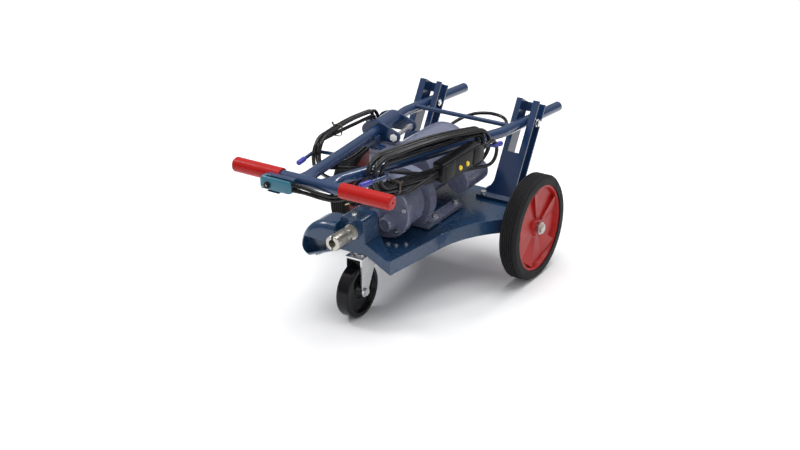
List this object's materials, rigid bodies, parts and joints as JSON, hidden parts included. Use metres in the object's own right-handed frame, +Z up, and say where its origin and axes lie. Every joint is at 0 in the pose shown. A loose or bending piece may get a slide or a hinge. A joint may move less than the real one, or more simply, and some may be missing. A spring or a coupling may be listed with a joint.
{
  "type": "sewer auger machine",
  "caption": "Wheeled sewer auger machine: folding T-handle over a geared motor on a ribbed casting, slotted drive coupling at the front, swivel caster and wound supply cord.",
  "frame": {"origin": "on the floor, under the middle of the machine's length and width without its cord", "axes": "+X forward to the drive coupling and the T-bar, +Y to the machine's left, +Z up"},
  "size_m": [0.9306, 0.5358, 0.4123],
  "materials": {
    "blue_paint": "gloss enamel",
    "grey_violet_paint": "satin enamel",
    "teal_paint": "gloss enamel",
    "red_plastic": "moulded, satin gloss",
    "red_vinyl": "dipped vinyl, gloss",
    "blue_vinyl": "dipped vinyl, gloss",
    "black_tyre": "matte rubber",
    "black_plastic": "moulded, satin",
    "black_cord": "jacketed cord, satin",
    "black_strap": "matte strap",
    "zinc": "bright zinc plate",
    "ground_steel": "ground steel",
    "black_seal": "nitrile",
    "moulded_fan": "moulded",
    "bright_steel": "nickel plate",
    "yellow_plastic": "moulded, gloss",
    "brass_blades": "stamped brass"
  },
  "bodies": {
    "chassis": {"base_casting": "blue_paint", "bearing_bush": "zinc", "bearing_oiler": "zinc", "left_upright": "blue_paint", "right_upright": "blue_paint", "pivot_bolts": "zinc", "mounting_bolts": "zinc", "rear_axle": "zinc", "axle_cap_nuts": "zinc", "gear_case": "grey_violet_paint", "gear_housing": "grey_violet_paint", "gear_cover": "grey_violet_paint", "cover_screws": "zinc", "output_seal": "black_seal", "motor_housing": "grey_violet_paint", "motor_end_bell": "grey_violet_paint", "stator": "ground_steel", "shaft_bearings": "ground_steel", "capacitor_can": "grey_violet_paint", "terminal_box": "grey_violet_paint", "handle_rest": "blue_paint", "caster_mount": "zinc", "motor_cable": "black_cord"},
    "drive": {"output_shaft": "ground_steel", "output_gear": "ground_steel", "drive_coupling": "zinc"},
    "rotor": {"rotor_shaft": "ground_steel", "rotor_core": "ground_steel", "cooling_fan": "moulded_fan"},
    "left_wheel": {"left_tyre": "black_tyre", "left_hub": "red_plastic"},
    "right_wheel": {"right_tyre": "black_tyre", "right_hub": "red_plastic"},
    "caster_swivel": {"caster_fork": "zinc", "caster_axle": "zinc"},
    "caster_roller": {"caster_wheel": "black_plastic"},
    "handle": {"handle_tube_left": "blue_paint", "handle_tube_right": "blue_paint", "handle_crossbar": "blue_paint", "handle_rods": "blue_paint", "hook_tips": "blue_vinyl", "left_grip": "red_vinyl", "right_grip": "red_vinyl", "handle_clamp": "blue_paint", "clamp_bolts": "zinc", "switch_box": "teal_paint", "switch_bracket": "blue_paint", "cord_hank_left": "black_cord", "breaker_body": "black_plastic", "cord_hank_right": "black_cord", "switch_lead": "black_cord", "motor_lead": "black_cord", "crossover_lead": "black_cord", "plug_lead": "black_cord", "plug_body": "black_plastic", "plug_blades": "brass_blades", "cord_ties": "black_strap"},
    "toggle": {"switch_toggle": "bright_steel"},
    "test_button": {"breaker_test_button": "yellow_plastic"},
    "reset_button": {"breaker_reset_button": "yellow_plastic"}
  },
  "joints": [
    {"name": "drive_spin", "type": "hinge", "parent": "chassis", "child": "drive", "pos_m": [0.15217, 0, 0.213], "axis": [1, 0, 0], "continuous": true},
    {"name": "rotor_spin", "type": "hinge", "parent": "chassis", "child": "rotor", "pos_m": [-0.08783, -0.02194, 0.25569], "axis": [1, 0, 0], "continuous": true},
    {"name": "left_wheel_spin", "type": "hinge", "parent": "chassis", "child": "left_wheel", "pos_m": [-0.14783, 0.236, 0.127], "axis": [0, 1, 0], "continuous": true},
    {"name": "right_wheel_spin", "type": "hinge", "parent": "chassis", "child": "right_wheel", "pos_m": [-0.14783, -0.236, 0.127], "axis": [0, 1, 0], "continuous": true},
    {"name": "caster_swivel", "type": "hinge", "parent": "chassis", "child": "caster_swivel", "pos_m": [0.22417, 0, 0.15], "axis": [0, 0, 1], "continuous": true},
    {"name": "caster_roll", "type": "hinge", "parent": "caster_swivel", "child": "caster_roller", "pos_m": [0.24217, 0, 0.0635], "axis": [0, 1, 0], "continuous": true},
    {"name": "handle_fold", "type": "hinge", "parent": "chassis", "child": "handle", "pos_m": [-0.29883, 0, 0.324], "axis": [0, -1, 0], "range_deg": [0, 100]},
    {"name": "toggle_throw", "type": "hinge", "parent": "handle", "child": "toggle", "pos_m": [0.45031, -0.104, 0.37054], "axis": [0, 1, 0], "range_deg": [-14, 14]},
    {"name": "test_press", "type": "slide", "parent": "handle", "child": "test_button", "axis": [-0.1852, -0.9826, -0.0148], "range_m": [0, 0.0015], "stiffness_N_per_m": 800, "springref_m": -0.001},
    {"name": "reset_press", "type": "slide", "parent": "handle", "child": "reset_button", "axis": [-0.1852, -0.9826, -0.0148], "range_m": [0, 0.0015], "stiffness_N_per_m": 800, "springref_m": -0.001}
  ],
  "couplings": [
    {"joint": "rotor_spin", "follows": "drive_spin", "ratio": -3.3636}
  ]
}
